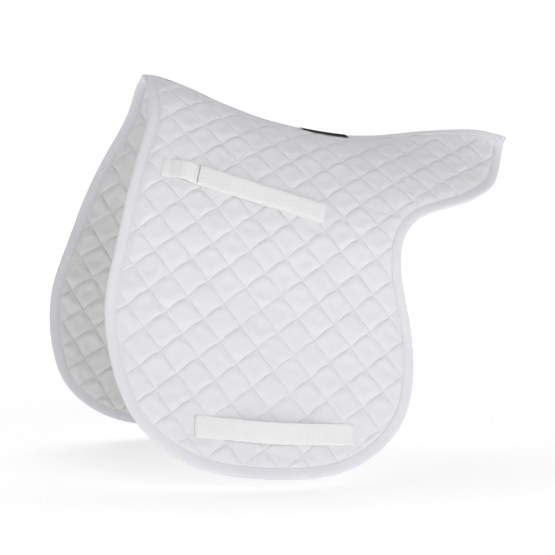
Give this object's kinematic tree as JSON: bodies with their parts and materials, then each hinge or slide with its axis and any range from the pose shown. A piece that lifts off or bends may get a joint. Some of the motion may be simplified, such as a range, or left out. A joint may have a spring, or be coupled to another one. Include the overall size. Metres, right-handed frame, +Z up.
{
  "type": "saddle pad",
  "caption": "Saddle-shaped quilted cotton pad with a contoured spine, bound edges, girth loops and fold-back straps, laid over a horse's back under a saddle.",
  "frame": {"origin": "underside of the spine at its lowest point, in the middle of the pad", "axes": "+X to the horse's tail, +Y to its right side, +Z up"},
  "size_m": [0.6833, 0.5612, 0.5554],
  "materials": {
    "quilted_cotton": "matte",
    "lining_cotton": "matte",
    "wadding": "matte",
    "binding": "matte",
    "webbing": "matte",
    "thread": "matte",
    "hook_and_loop": "matte",
    "label": "matte",
    "label_thread": "matte"
  },
  "bodies": {
    "saddle": {"left_upper_cover": "quilted_cotton", "left_upper_filling": "wadding", "left_upper_lining": "lining_cotton", "left_front_binding": "binding", "left_rear_binding": "binding", "left_saddle_strap_tab": "webbing", "left_saddle_strap_stitching": "thread", "right_upper_cover": "quilted_cotton", "right_upper_filling": "wadding", "right_upper_lining": "lining_cotton", "right_front_binding": "binding", "right_rear_binding": "binding", "right_saddle_strap_tab": "webbing", "right_saddle_strap_stitching": "thread", "spine_tape": "binding", "spine_binding": "binding", "spine_label": "label", "label_stitching": "label_thread"},
    "left_flap": {"left_flap_cover": "quilted_cotton", "left_flap_filling": "wadding", "left_flap_lining": "lining_cotton", "left_flap_binding": "binding", "left_girth_strap": "webbing", "left_girth_strap_stitching": "thread"},
    "left_strap": {"left_saddle_strap": "webbing", "left_loop_tape": "hook_and_loop"},
    "left_strap_end": {"left_saddle_strap_end": "webbing", "left_hook_tape": "hook_and_loop"},
    "right_flap": {"right_flap_cover": "quilted_cotton", "right_flap_filling": "wadding", "right_flap_lining": "lining_cotton", "right_flap_binding": "binding", "right_girth_strap": "webbing", "right_girth_strap_stitching": "thread"},
    "right_strap": {"right_saddle_strap": "webbing", "right_loop_tape": "hook_and_loop"},
    "right_strap_end": {"right_saddle_strap_end": "webbing", "right_hook_tape": "hook_and_loop"}
  },
  "joints": [
    {"name": "left_flap_lift", "type": "hinge", "parent": "saddle", "child": "left_flap", "pos_m": [0, -0.18423, -0.18058], "axis": [-0.9934, 0.0375, 0.1083], "range_deg": [-15, 60], "stiffness_Nm_per_rad": 2},
    {"name": "left_strap_lift", "type": "hinge", "parent": "saddle", "child": "left_strap", "pos_m": [-0.32946, -0.12632, -0.03995], "axis": [-0.3072, -0.4555, -0.8355], "range_deg": [0, 100]},
    {"name": "left_strap_unfold", "type": "hinge", "parent": "left_strap", "child": "left_strap_end", "pos_m": [-0.11443, -0.15525, -0.10325], "axis": [0.3072, 0.4555, 0.8355], "range_deg": [0, 170]},
    {"name": "right_flap_lift", "type": "hinge", "parent": "saddle", "child": "right_flap", "pos_m": [0, 0.18423, -0.18058], "axis": [0.9934, 0.0375, -0.1083], "range_deg": [-15, 60], "stiffness_Nm_per_rad": 2},
    {"name": "right_strap_lift", "type": "hinge", "parent": "saddle", "child": "right_strap", "pos_m": [-0.32946, 0.12632, -0.03995], "axis": [0.3072, -0.4555, 0.8355], "range_deg": [0, 100]},
    {"name": "right_strap_unfold", "type": "hinge", "parent": "right_strap", "child": "right_strap_end", "pos_m": [-0.11443, 0.15525, -0.10325], "axis": [-0.3072, 0.4555, -0.8355], "range_deg": [0, 170]}
  ]
}
